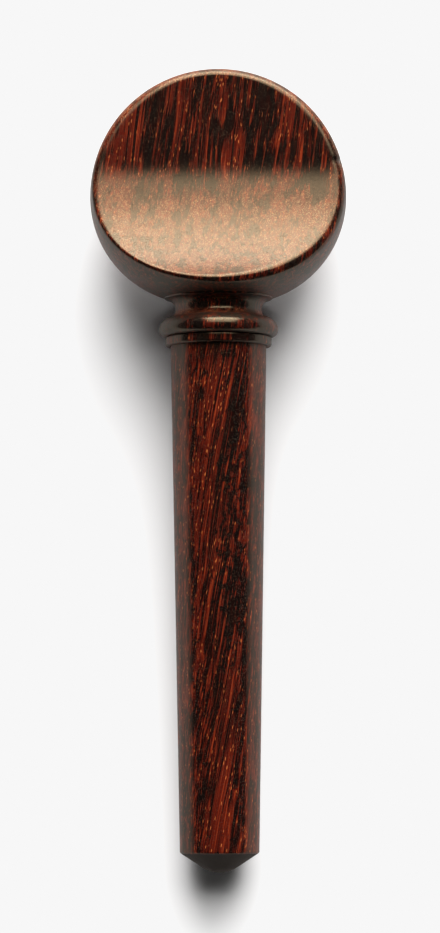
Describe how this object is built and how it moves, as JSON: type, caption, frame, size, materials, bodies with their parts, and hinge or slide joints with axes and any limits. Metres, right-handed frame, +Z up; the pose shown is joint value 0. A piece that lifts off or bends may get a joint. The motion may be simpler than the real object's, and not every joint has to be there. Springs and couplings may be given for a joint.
{
  "type": "violin tuning peg",
  "caption": "Turned rosewood tuning peg for a violin: round thumb piece scooped on both faces, waisted neck, beaded collar and a plain tapered shank with a blunt cone tip.",
  "frame": {"origin": "on the surface the peg lies on, under the middle of its bounding box", "axes": "+Z up from that surface; +Y along the peg towards its head, seen from above; +X across the head, to the right when the head points away. The peg's own axis rises 3.24 degrees towards the head, because it rests on the swell of the head and the end of the shank"},
  "size_m": [0.0242, 0.0754, 0.0134],
  "materials": {
    "shaft_wood": "satin",
    "collar_wood": "satin",
    "head_wood": "satin"
  },
  "bodies": {
    "root": {"shaft": "shaft_wood", "collar_ring": "collar_wood", "collar_bead": "collar_wood", "head": "head_wood"}
  },
  "joints": []
}
